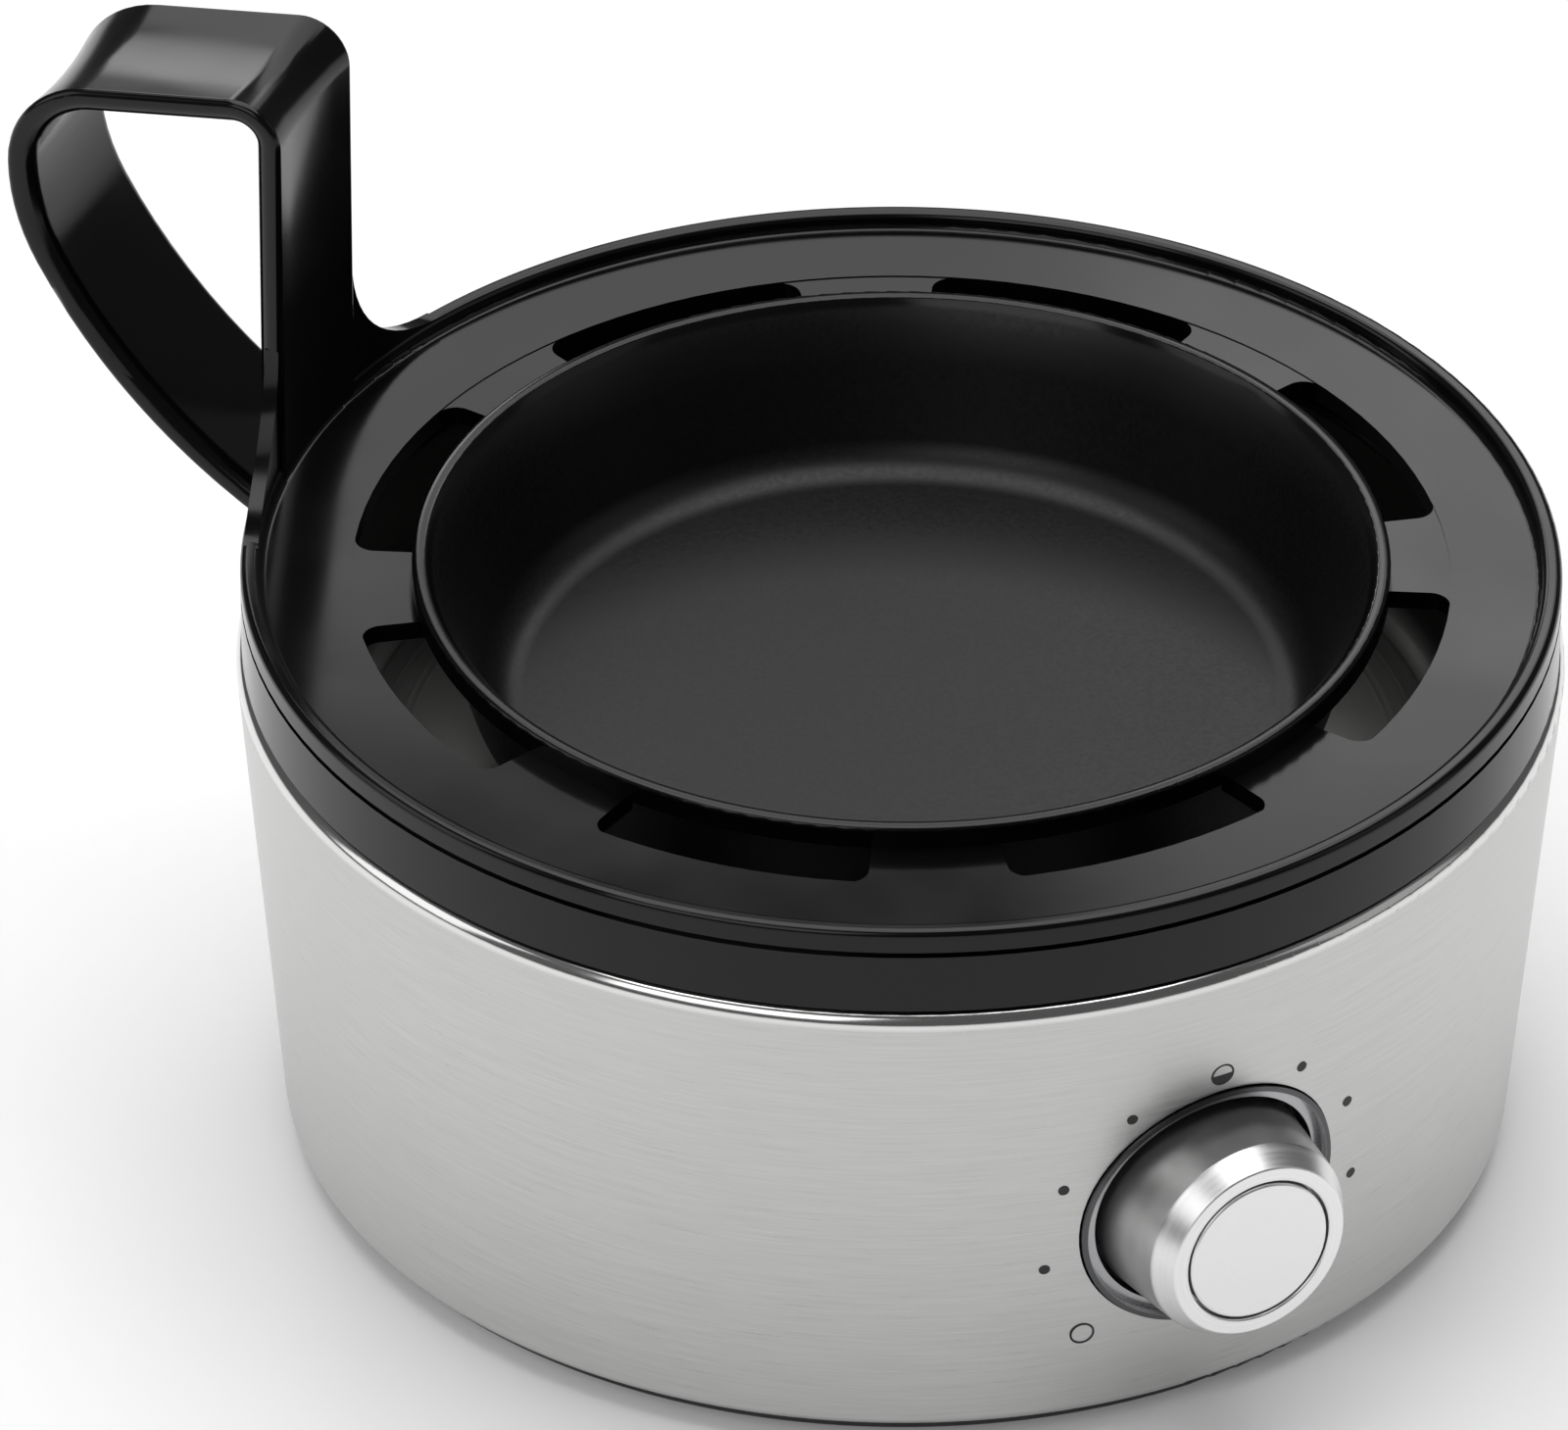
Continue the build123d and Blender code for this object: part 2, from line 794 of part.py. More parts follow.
def handle_strap():
    """Strap, hollow on its outer side, that rises from the rim, bends round and comes back to the skirt."""
    middle = rim_radius - post_setback
    foot = ring_top - ring_wall / 2
    rise = Line((middle, foot), (middle, rim_top + post_rise - corner_radius))
    corner = JernArc(rise @ 1, rise % 1, corner_radius, -90 - top_fall_angle)
    top = Line(corner @ 1, corner @ 1 + corner % 1 * top_length)
    bend = JernArc(top @ 1, top % 1, bend_radius, top_fall_angle - 90)
    turn = JernArc(bend @ 1, bend % 1, turn_radius, -turn_angle)
    back = JernArc(turn @ 1, turn % 1, return_radius, -return_angle)
    path = Plane.XZ * Wire([rise, corner, top, bend, turn, back])
    half_width = strap_width / 2
    half_thickness = strap_thickness / 2
    corners = [(side * half_width, half_thickness) for side in (-1, 1)]
    corners += [(side * half_width, -half_thickness) for side in (1, -1)]
    rounds = [strap_outer_round, strap_outer_round, strap_inner_round, strap_inner_round]
    section = make_face(FilletPolyline(*corners, radius=rounds, close=True))
    half_flat = half_width - strap_outer_round
    hollow_radius = (half_flat**2 + strap_hollow**2) / (2 * strap_hollow)
    section -= Pos(0, half_thickness - strap_hollow + hollow_radius) * Circle(hollow_radius)
    start = Plane(origin=(middle, 0, foot), x_dir=(0, 1, 0), z_dir=(0, 0, 1))
    return sweep(start * section, path=path)


def handle_foot():
    """Web that widens the post into the rim with a round on each side."""
    reach = strap_width / 2 + foot_fillet
    low = rim_top - lip_height / 2
    high = rim_top + foot_fillet
    web = tube(rim_radius - web_inset, rim_radius - skirt_wall + web_inset, low, high)
    web &= Pos(rim_radius, 0, 0) * block(strap_width, 2 * reach, low, high)
    for side in (-1, 1):
        hollow = Rot(0, 90, 0) * Cylinder(foot_fillet, 2 * strap_width)
        web -= Pos(rim_radius, side * reach, high) * hollow
    return web


def seam():
    """Groove round the skirt that stops at the sides of the handle."""
    seam_top = rim_top - seam_drop
    seam_bottom = seam_top - seam_width
    groove = tube(rim_radius + overrun, rim_radius - seam_depth, seam_bottom, seam_top)
    stop = strap_width + 2 * overrun
    return groove - Pos(rim_radius, 0, 0) * block(stop, stop, seam_bottom, seam_top)


def make_egg_carrier():
    """Carrier ring and its loop handle, one moulding."""
    turn = Rot(0, 0, handle_angle)
    carrier = carrier_ring() - turn * seam()
    inside = rod(rim_radius - skirt_wall / 2, skirt_bottom, ring_top - ring_wall * strap_end_share)
    carrier += turn * handle_foot()
    carrier += turn * (handle_strap() - inside)
    for place in polar(window_count, 0, handle_angle + window_offset_angle):
        carrier -= place * window()
    return carrier


def make_poaching_dish():
    """Drop-in dish whose ledge rests on the carrier's tabs."""
    foot_radius = dish_body_radius - dish_taper
    inner_floor = dish_bottom + dish_wall
    return turned(
        (0, dish_bottom),
        (foot_radius, dish_bottom, dish_foot_round),
        (dish_body_radius, tab_top),
        (dish_radius, tab_top),
        (dish_radius, dish_top, dish_rim_round),
        (dish_radius - dish_wall, dish_top, dish_rim_round),
        (dish_body_radius - dish_wall, tab_top),
        (foot_radius - dish_wall, inner_floor, dish_foot_round - dish_wall),
        (0, inner_floor),
    )


makers = {
    "outer_shell": make_outer_shell,
    "bottom_cover": make_bottom_cover,
    "foot_ring": make_foot_ring,
    "tie_screws": make_tie_screws,
    "pan_studs": make_pan_studs,
    "pan_seal": make_pan_seal,
    "heating_pan": make_heating_pan,
    "heat_spreader": make_heat_spreader,
    "heating_element": make_heating_element,
    "pin_bushes": make_pin_bushes,
    "thermostat": make_thermostat,
    "thermal_fuse": make_thermal_fuse,
    "fuse_clip": make_fuse_clip,
    "heat_shield": make_heat_shield,
    "dial_bezel": make_dial_bezel,
    "dial_control": make_dial_control,
    "control_nut": make_control_nut,
    "control_board": make_control_board,
    "board_screws": make_board_screws,
    "start_switch": make_start_switch,
    "relay": make_relay,
    "capacitor": make_capacitor,
    "buzzer": make_buzzer,
    "board_connector": make_board_connector,
    "cord_gland": make_cord_gland,
    "gland_nut": make_gland_nut,
    "terminal_block": make_terminal_block,
    "heater_leads": make_heater_leads,
    "supply_leads": make_supply_leads,
    "dial_shaft": make_dial_shaft,
    "knob_hub": make_knob_hub,
    "knob": make_knob,
    "button_cap": make_button_cap,
    "button_stem": make_button_stem,
    "return_dome": make_return_dome,
    "egg_carrier": make_egg_carrier,
    "poaching_dish": make_poaching_dish,
}

os.makedirs("parts", exist_ok=True)
for name, make in makers.items():
    export_step(make(), f"parts/{name}.step")
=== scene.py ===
import json
import math

import bmesh
import bpy
import numpy as np
from bpy.props import FloatProperty, FloatVectorProperty, IntProperty, PointerProperty
from mathutils import Matrix, Vector


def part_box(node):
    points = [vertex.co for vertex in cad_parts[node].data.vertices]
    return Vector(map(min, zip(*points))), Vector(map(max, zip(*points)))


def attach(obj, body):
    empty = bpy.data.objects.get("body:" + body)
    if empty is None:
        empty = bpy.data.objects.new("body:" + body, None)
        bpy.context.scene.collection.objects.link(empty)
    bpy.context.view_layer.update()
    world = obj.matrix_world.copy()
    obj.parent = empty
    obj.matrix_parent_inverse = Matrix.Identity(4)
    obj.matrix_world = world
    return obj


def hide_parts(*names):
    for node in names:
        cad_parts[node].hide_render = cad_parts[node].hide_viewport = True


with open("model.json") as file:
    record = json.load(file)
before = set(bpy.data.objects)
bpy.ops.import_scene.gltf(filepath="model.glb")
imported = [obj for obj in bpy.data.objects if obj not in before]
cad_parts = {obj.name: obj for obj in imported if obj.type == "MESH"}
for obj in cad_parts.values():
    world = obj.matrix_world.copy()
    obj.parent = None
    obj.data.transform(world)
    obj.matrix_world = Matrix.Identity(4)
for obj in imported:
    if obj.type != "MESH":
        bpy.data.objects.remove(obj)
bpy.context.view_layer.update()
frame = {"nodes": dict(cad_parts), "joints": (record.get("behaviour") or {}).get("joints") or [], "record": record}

bl_info = {
    "name": "Electric egg cooker",
    "version": (1, 0, 0),
    "blender": (4, 5, 0),
    "location": "View3D > Sidebar > Egg cooker",
    "description": "Finishes, dial marks and studio for a steel egg cooker with a lift-out carrier",
    "category": "Object",
}

# The nodes of each body
BODIES = frame["record"]["behaviour"]["bodies"]

# Corners of the steel cone's box
SHELL_LOW, SHELL_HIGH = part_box("outer_shell")

# The dial turns about this point, along Y
DIAL_AXIS = next(Vector(j["pos_m"]) for j in frame["joints"] if j["name"] == "knob_turn")

# A point on the axis that a piece was turned about, and the direction of that axis
UPRIGHT = (Vector((0, 0, 0)), Vector((0, 0, 1)))
DIAL_TURN = (DIAL_AXIS, Vector((0, -1, 0)))

# The centre of a pattern round each axis, and the turn that lays the axis along Z
UPRIGHT_PATTERN = ((0.0, 0.0, 0.0), (0.0, 0.0, 0.0))
DIAL_PATTERN = (DIAL_AXIS, (math.radians(90.0), 0.0, 0.0))

# A length that counts as none, the distance within which points merge, and the shortest edge that stays
TINY = 0.0000001
MERGE_DISTANCE = 0.000001
SHORTEST_EDGE = 0.0000005

# Faces that meet at a smaller angle, in degrees, are shaded as one
CREASE = 40.0

# The most that a turned face may lean sideways
MOST_SIDEWAYS = 0.25

# The fewest points that make a ring, and the decimals to which they share a radius and a height
FEWEST_ON_RING = 24
RING_DECIMALS = 5

# The carrier's lip: its outer radius, wall and top, and the radius of the rounds along it
LIP_RADIUS = 0.08
LIP_WALL = 0.0024
LIP_TOP = 0.07844
LIP_ROUND = 0.0009

# The circle that each of the lip's rounds follows, as radius and height, and the round's own radius
LIP_ROUNDS = (
    (LIP_RADIUS - LIP_ROUND, LIP_TOP - LIP_ROUND, LIP_ROUND),
    (LIP_RADIUS - LIP_WALL + LIP_ROUND, LIP_TOP - LIP_ROUND, LIP_ROUND),
)

# How near a point lies to a round that it belongs to, as a share of the round's radius, and its extra cuts
ON_ROUND = 0.02
ROUND_CUTS = 2

# How far the carrier's flat faces seem to fall inwards, and how level a flat face is
RING_FALL = math.radians(3.5)
FLAT_RISE = 0.999

# The range of most of a noise's values: one noise, a slow one, and two added up
NOISE_SPAN = (0.3, 0.7)
CLOUD_SPAN = (0.35, 0.65)
SUM_SPAN = (0.6, 1.4)

# How far a finish's roughness falls below its mean value and rises above it
STEEL_SPREAD = (0.06, 0.07)
GLOSS_SPREAD = (0.02, 0.03)
SATIN_SPREAD = (0.06, 0.06)
TURNED_SPREAD = (0.05, 0.06)
MOULDED_SPREAD = (0.06, 0.08)

# The share by which a finish's colour gets lighter and darker
STEEL_TINT = 0.17
GLOSS_TINT = 0.25
TURNED_TINT = 0.07
FLOOR_TINT = 0.01

# The steel's polished shoulder: the width of the change to it, its brightness and its roughness
SHOULDER_BLEND = 0.0006
SHOULDER_GAIN = 1.3
SHOULDER_ROUGHNESS = 0.14

# Gloss black: its refraction, and the satin floor of the dish inside its gloss rim
GLOSS_IOR = 1.36
SATIN_ROUGHNESS = 0.4
SATIN_BLEND = 0.0004
DISH_RIM_WIDTH = 0.0022

# Turned metal: half the width of the change from a face to its rim
RIM_BLEND = 0.00008

# The knob's side: the radius where it begins, and its colour as a share of the face's
KNOB_FACE_RADIUS = 0.0131
KNOB_SIDE_SHARE = 0.62

# The bezel's rim, darkened as painted shade along the edge of its recess: its width and colour
BEZEL_RIM_WIDTH = 0.0007
BEZEL_RIM_SHADE_COLOUR = (0.1, 0.1, 0.104)

# Straight steps in half a turn of an egg sign
SIGN_STEPS = 18

# Half the width of the floor
FLOOR_HALF = 4.0

# The point above the origin that the lights face
LIGHT_AIM = Vector((0, 0, 0.06))

# Each panel of light: its place towards the camera, to the right and up, and its width and height
PANELS = {
    "back": ((-1.17, 0.0, 1.15), (1.2, 0.65)),
    "corner": ((-0.3, 0.06, 0.28), (0.08, 0.08)),
    "handle": ((-0.6, -0.17, 0.35), (0.12, 0.14)),
    "top": ((-0.25, 0.0, 1.7), (1.8, 1.6)),
    "left": ((0.1, -1.4, 0.7), (0.8, 1.0)),
    "right": ((0.1, 1.4, 0.7), (0.8, 1.0)),
    "front": ((1.3, -0.7, 1.1), (1.2, 1.0)),
}


class CookerFinishes(bpy.types.PropertyGroup):
    """Colours and gloss of the cooker's surfaces."""

    steel_colour: FloatVectorProperty(
        name="Steel", description="Colour of the brushed steel cone", subtype="COLOR",
        default=(0.56, 0.56, 0.555), min=0.0, max=1.0,
    )
    steel_roughness: FloatProperty(
        name="Steel roughness", description="Roughness of the brushed steel", subtype="FACTOR",
        default=0.33, min=0.0, max=1.0,
    )
    steel_line_spacing: FloatProperty(
        name="Brush line spacing", description="Width of the brush lines on the steel", unit="LENGTH",
        default=0.00028, min=0.00001,
    )
    shoulder_depth: FloatProperty(
        name="Polished shoulder", description="Depth of the polished band at the top of the cone",
        unit="LENGTH", default=0.0017, min=0.0,
    )
    black_colour: FloatVectorProperty(
        name="Black", description="Colour of the gloss black mouldings", subtype="COLOR",
        default=(0.0022, 0.0022, 0.0024), min=0.0, max=1.0,
    )
    black_roughness: FloatProperty(
        name="Black roughness", description="Roughness of the gloss black mouldings", subtype="FACTOR",
        default=0.15, min=0.0, max=1.0,
    )
    metal_colour: FloatVectorProperty(
        name="Knob metal", description="Colour of the satin knob and button", subtype="COLOR",
        default=(0.82, 0.82, 0.82), min=0.0, max=1.0,
    )
    ink_colour: FloatVectorProperty(
        name="Mark ink", description="Colour of the printed dial marks", subtype="COLOR",
        default=(0.012, 0.012, 0.012), min=0.0, max=1.0,
    )


class CookerMarks(bpy.types.PropertyGroup):
    """Sizes of the marks printed round the dial."""

    circle_radius: FloatProperty(
        name="Mark circle", description="Radius of the circle that the marks stand on", unit="LENGTH",
        default=0.0213, min=0.001,
    )
    circle_drop: FloatProperty(
        name="Mark drop", description="How far the circle's centre lies below the dial's axis",
        unit="LENGTH", default=0.0016, min=0.0,
    )
    step_angle: FloatProperty(
        name="Step", description="Angle from one mark to the next", subtype="ANGLE",
        default=math.radians(32.9), min=0.01,
    )
    dots_per_side: IntProperty(
        name="Dots per side", description="Dots on each side of the top mark", default=3, min=1,
    )
    dot_radius: FloatProperty(
        name="Dot radius", description="Radius of a dot", unit="LENGTH", default=0.0007, min=0.0001,
    )
    sign_radius: FloatProperty(
        name="Sign radius", description="Outer radius of the egg signs", unit="LENGTH",
        default=0.00155, min=0.0002,
    )
    line_width: FloatProperty(
        name="Line width", description="Width of the egg signs' outline", unit="LENGTH",
        default=0.00026, min=0.00005,
    )
    ink_depth: FloatProperty(
        name="Ink depth", description="Thickness of the printed ink", unit="LENGTH",
        default=0.00006, min=0.00001,
    )


class CookerStage(bpy.types.PropertyGroup):
    """Camera, floor and lights."""

    azimuth: FloatProperty(
        name="Azimuth", description="Direction of the camera round the cooker", subtype="ANGLE",
        default=math.radians(-29.1),
    )
    elevation: FloatProperty(
        name="Elevation", description="Height of the camera above the horizon", subtype="ANGLE",
        default=math.radians(34.3),
    )
    roll: FloatProperty(
        name="Roll", description="Turn of the camera about its own axis", subtype="ANGLE",
        default=math.radians(0.56),
    )
    distance: FloatProperty(
        name="Distance", description="Distance of the camera from its target", unit="LENGTH",
        default=2.0, min=0.1,
    )
    target_height: FloatProperty(
        name="Target height", description="Height of the point that the camera looks at", unit="LENGTH",
        default=0.0415,
    )
    lens: FloatProperty(
        name="Lens", description="Focal length of the camera in millimetres", default=375.5, min=1.0,
    )
    shift_right: FloatProperty(
        name="Shift right", description="Sideways shift of the frame", default=-0.0733,
    )
    shift_up: FloatProperty(
        name="Shift up", description="Upward shift of the frame", default=0.0596,
    )
    floor_colour: FloatVectorProperty(
        name="Floor", description="Colour of the floor", subtype="COLOR",
        default=(0.84, 0.84, 0.84), min=0.0, max=1.0,
    )
    floor_glow: FloatProperty(
        name="Floor glow", description="Light that the floor gives off by itself", default=0.12, min=0.0,
    )
    surround: FloatProperty(
        name="Surround", description="Brightness of the room round the lights", default=0.10, min=0.0,
    )
    back_light: FloatProperty(
        name="Back light", description="Power of the panel behind the cooker", unit="POWER",
        default=4.3, min=0.0,
    )
    corner_light: FloatProperty(
        name="Corner light", description="Power of the small panel behind the right half", unit="POWER",
        default=0.024, min=0.0,
    )
    handle_light: FloatProperty(
        name="Handle light", description="Power of the panel that shows in the handle's top", unit="POWER",
        default=0.16, min=0.0,
    )
    top_light: FloatProperty(
        name="Top light", description="Power of the panel above the cooker", unit="POWER",
        default=28.0, min=0.0,
    )
    left_light: FloatProperty(
        name="Left light", description="Power of the panel on the cooker's left", unit="POWER",
        default=3.0, min=0.0,
    )
    right_light: FloatProperty(
        name="Right light", description="Power of the panel on the cooker's right", unit="POWER",
        default=0.8, min=0.0,
    )
    front_light: FloatProperty(
        name="Front light", description="Power of the panel beside the camera", unit="POWER",
        default=6.0, min=0.0,
    )


# Nodes


def put(tree, kind, inputs=None, **settings):
    """Adds a node, sets its fields, and gives its inputs a value or a link."""
    node = tree.nodes.new(kind)
    for field, value in settings.items():
        setattr(node, field, value)
    for socket, value in (inputs or {}).items():
        if isinstance(value, bpy.types.NodeSocket):
            tree.links.new(value, node.inputs[socket])
        else:
            node.inputs[socket].default_value = value
    return node


def maths(tree, operation, first, second):
    """One Math node's result."""
    return put(tree, "ShaderNodeMath", {0: first, 1: second}, operation=operation).outputs[0]


def ramped(tree, value, low, high, start=0.0, end=1.0):
    """Maps a value from low..high to start..end, held at the ends."""
    inputs = {"Value": value, "From Min": low, "From Max": high, "To Min": start, "To Max": end}
    return put(tree, "ShaderNodeMapRange", inputs).outputs["Result"]


def blended(tree, share, first, second, kind="FLOAT"):
    """A value or colour between two others."""
    inputs = {"Factor": share, "A": first, "B": second}
    return put(tree, "ShaderNodeMix", inputs, data_type=kind).outputs["Result"]


def tinted(tree, colour, share, value):
    """A colour that the value makes up to that share lighter or darker."""
    dark = [c * (1 - share) for c in colour] + [1.0]
    light = [min(1.0, c * (1 + share)) for c in colour] + [1.0]
    return blended(tree, value, dark, light, "RGBA")


def uneven(tree, value, span, mean, spread):
    """Roughness that follows a value over its span, from below the mean to above it."""
    below, above = spread
    return ramped(tree, value, *span, mean - below, mean + above)


def flattened(tree, place):
    """A place with its height left out."""
    parts = put(tree, "ShaderNodeSeparateXYZ", {0: place}).outputs
    return put(tree, "ShaderNodeCombineXYZ", {0: parts[0], 1: parts[1]}).outputs[0]


def height_of(tree, place):
    """The height of a place."""
    return put(tree, "ShaderNodeSeparateXYZ", {0: place}).outputs[2]


def axis_distance(tree, place):
    """Distance from the Z axis."""
    flat = flattened(tree, place)
    return put(tree, "ShaderNodeVectorMath", {0: flat}, operation="LENGTH").outputs["Value"]


def group(name, inputs, outputs):
    """An empty shader node group with named sockets."""
    tree = bpy.data.node_groups.new(name, "ShaderNodeTree")
    for label, kind, default in inputs:
        socket = tree.interface.new_socket(label, in_out="INPUT", socket_type=kind)
        if default is not None:
            socket.default_value = default
    for label in outputs:
        tree.interface.new_socket(label, in_out="OUTPUT", socket_type="NodeSocketFloat")
    return tree, tree.nodes.new("NodeGroupInput").outputs, tree.nodes.new("NodeGroupOutput")


def brushing_group():
    """Fine lines that run round the Z axis, as a brush leaves them on a turned shell."""
    sockets = [
        ("Vector", "NodeSocketVector", None), ("Spacing", "NodeSocketFloat", 0.0003),
        ("Streaks round", "NodeSocketFloat", 7.0),
    ]
    tree, given, out = group("Brushed round", sockets, ["Lines"])
    flat = flattened(tree, given["Vector"])
    ring = put(tree, "ShaderNodeVectorMath", {0: flat}, operation="NORMALIZE").outputs[0]
    inputs = {0: ring, "Scale": given["Streaks round"]}
    ring = put(tree, "ShaderNodeVectorMath", inputs, operation="SCALE").outputs[0]
    across = maths(tree, "DIVIDE", height_of(tree, given["Vector"]), given["Spacing"])
    lift = put(tree, "ShaderNodeCombineXYZ", {2: across}).outputs[0]
    place = put(tree, "ShaderNodeVectorMath", {0: ring, 1: lift}, operation="ADD").outputs[0]
    lines = put(tree, "ShaderNodeTexNoise", {"Vector": place, "Scale": 1.0, "Detail": 3.0, "Roughness": 0.6})
    tree.links.new(lines.outputs["Fac"], out.inputs["Lines"])
    return tree


def turning_group():
    """Rings round the Z axis, as a lathe tool leaves them on a face."""
    sockets = [("Vector", "NodeSocketVector", None), ("Spacing", "NodeSocketFloat", 0.0002)]
    tree, given, out = group("Turned rings", sockets, ["Rings"])
    along = maths(tree, "DIVIDE", axis_distance(tree, given["Vector"]), given["Spacing"])
    rings = put(tree, "ShaderNodeTexNoise", {"W": along, "Scale": 1.0, "Detail": 2.0}, noise_dimensions="1D")
    tree.links.new(rings.outputs["Fac"], out.inputs["Rings"])
    return tree


def grain_group():
    """Fine grain of a moulded or cast surface, and the slow unevenness under it."""
    sockets = [("Vector", "NodeSocketVector", None), ("Grain size", "NodeSocketFloat", 0.0004)]
    tree, given, out = group("Moulded grain", sockets, ["Grain", "Cloud"])
    size = maths(tree, "DIVIDE", 1.0, given["Grain size"])
    inputs = {0: given["Vector"], "Scale": size}
    place = put(tree, "ShaderNodeVectorMath", inputs, operation="SCALE").outputs[0]
    fine = put(tree, "ShaderNodeTexNoise", {"Vector": place, "Scale": 1.0, "Detail": 3.0, "Roughness": 0.55})
    slow = put(tree, "ShaderNodeTexNoise", {"Vector": place, "Scale": 0.03, "Detail": 2.0})
    tree.links.new(fine.outputs["Fac"], out.inputs["Grain"])
    tree.links.new(slow.outputs["Fac"], out.inputs["Cloud"])
    return tree


GROUP_MAKERS = {"brushing": brushing_group, "turning": turning_group, "grain": grain_group}
GROUPS = {}


def shared(tree, name, inputs):
    """Places a shared group in a material, built on first use."""
    if name not in GROUPS:
        GROUPS[name] = GROUP_MAKERS[name]()
    return put(tree, "ShaderNodeGroup", inputs, node_tree=GROUPS[name]).outputs


# Materials


def fresh(name, metallic, ior=1.5):
    """A new material: its tree, its shader, and Object coordinates."""
    material = bpy.data.materials.new(name)
    material.use_nodes = True
    tree = material.node_tree
    shader = tree.nodes["Principled BSDF"]
    shader.inputs["Metallic"].default_value = metallic
    shader.inputs["IOR"].default_value = ior
    where = tree.nodes.new("ShaderNodeTexCoord").outputs["Object"]
    return material, tree, shader, where


def centred(tree, where, centre, turn):
    """Object coordinates counted from a centre, then turned."""
    shifted = put(tree, "ShaderNodeVectorMath", {0: where, 1: centre}, operation="SUBTRACT").outputs[0]
    return put(tree, "ShaderNodeMapping", {"Vector": shifted, "Rotation": turn}).outputs[0]


def feed(tree, shader, socket, value):
    """Links a value that changes over the surface to the shader."""
    tree.links.new(value, shader.inputs[socket])


def bumped(tree, shader, height, depth, strength, edge=0.0):
    """Bump from a height, over edges that shade as if rounded."""
    inputs = {"Height": height, "Distance": depth, "Strength": strength}
    if edge:
        inputs["Normal"] = put(tree, "ShaderNodeBevel", {"Radius": edge}, samples=6).outputs[0]
    feed(tree, shader, "Normal", put(tree, "ShaderNodeBump", inputs).outputs[0])


def brushed_shell(finishes):
    """Brushed steel with a polished shoulder."""
    material, tree, shader, where = fresh("shell_brushed_steel", 1.0)
    lines = shared(tree, "brushing", {"Vector": where, "Spacing": finishes.steel_line_spacing})["Lines"]
    shoulder = SHELL_HIGH.z - finishes.shoulder_depth
    polish = ramped(tree, height_of(tree, where), shoulder - SHOULDER_BLEND, shoulder)
    body = tinted(tree, finishes.steel_colour, STEEL_TINT, lines)
    bright = [min(1.0, c * SHOULDER_GAIN) for c in finishes.steel_colour] + [1.0]
    feed(tree, shader, "Base Color", blended(tree, polish, body, bright, "RGBA"))
    satin = uneven(tree, lines, NOISE_SPAN, finishes.steel_roughness, STEEL_SPREAD)
    feed(tree, shader, "Roughness", blended(tree, polish, satin, SHOULDER_ROUGHNESS))
    bumped(tree, shader, lines, depth=0.00001, strength=0.35)
    return material


def gloss_black(finishes, name, inside=None):
    """Gloss black moulding, satin inside a radius where one is given."""
    material, tree, shader, where = fresh(name, 0.0, GLOSS_IOR)
    grain = shared(tree, "grain", {"Vector": where, "Grain size": 0.0006})
    feed(tree, shader, "Base Color", tinted(tree, finishes.black_colour, GLOSS_TINT, grain["Cloud"]))
    rough = uneven(tree, grain["Cloud"], CLOUD_SPAN, finishes.black_roughness, GLOSS_SPREAD)
    if inside:
        floor = ramped(tree, axis_distance(tree, where), inside - SATIN_BLEND, inside, 1.0, 0.0)
        satin = uneven(tree, grain["Grain"], NOISE_SPAN, SATIN_ROUGHNESS, SATIN_SPREAD)
        rough = blended(tree, floor, rough, satin)
    feed(tree, shader, "Roughness", rough)
    bumped(tree, shader, grain["Cloud"], depth=0.00002, strength=0.25)
    return material


def turned_metal(name, colour, rough, spacing, pattern=UPRIGHT_PATTERN, rim=None):
    """Metal turned on a lathe, with rings round an axis, in another colour outside a rim's radius: a darker side
    on the knob, painted shade on the bezel's rim.
    """
    material, tree, shader, where = fresh(name, 1.0)
    place = centred(tree, where, *pattern)
    rings = shared(tree, "turning", {"Vector": place, "Spacing": spacing})["Rings"]
    grain = shared(tree, "grain", {"Vector": where, "Grain size": 0.0002})["Grain"]
    shade = tinted(tree, colour, TURNED_TINT, rings)
    if rim:
        radius, rim_colour = rim
        outside = ramped(tree, axis_distance(tree, place), radius - RIM_BLEND, radius + RIM_BLEND)
        shade = blended(tree, outside, shade, tinted(tree, rim_colour, TURNED_TINT, rings), "RGBA")
    feed(tree, shader, "Base Color", shade)
    both = maths(tree, "ADD", rings, grain)
    feed(tree, shader, "Roughness", uneven(tree, both, SUM_SPAN, rough, TURNED_SPREAD))
    bumped(tree, shader, rings, depth=0.000004, strength=0.4)
    return material


def moulded(name, colour, rough, size=0.0004, depth=0.00003, metallic=0.0, tint=0.12, edge=0.0):
    """Moulded, cast or plated surface with a fine grain."""
    material, tree, shader, where = fresh(name, metallic)
    grain = shared(tree, "grain", {"Vector": where, "Grain size": size})
    feed(tree, shader, "Base Color", tinted(tree, colour, tint, grain["Cloud"]))
    feed(tree, shader, "Roughness", uneven(tree, grain["Grain"], NOISE_SPAN, rough, MOULDED_SPREAD))
    bumped(tree, shader, grain["Grain"], depth, strength=0.4, edge=edge)
    return material


def dress(material, *nodes):
    """Gives CAD nodes their finish."""
    for node in nodes:
        slots = frame["nodes"][node].data.materials
        slots.clear()
        slots.append(material)


# Skins


def shown(name, data):
    """Links a new object to the scene."""
    obj = bpy.data.objects.new(name, data)
    bpy.context.scene.collection.objects.link(obj)
    return obj


def settled(obj):
    """The object with what its modifiers make of it as its plain mesh."""
    graph = bpy.context.evaluated_depsgraph_get()
    mesh = bpy.data.meshes.new_from_object(obj.evaluated_get(graph))
    old = obj.data
    obj.modifiers.clear()
    obj.data = mesh
    bpy.data.meshes.remove(old)
    return obj


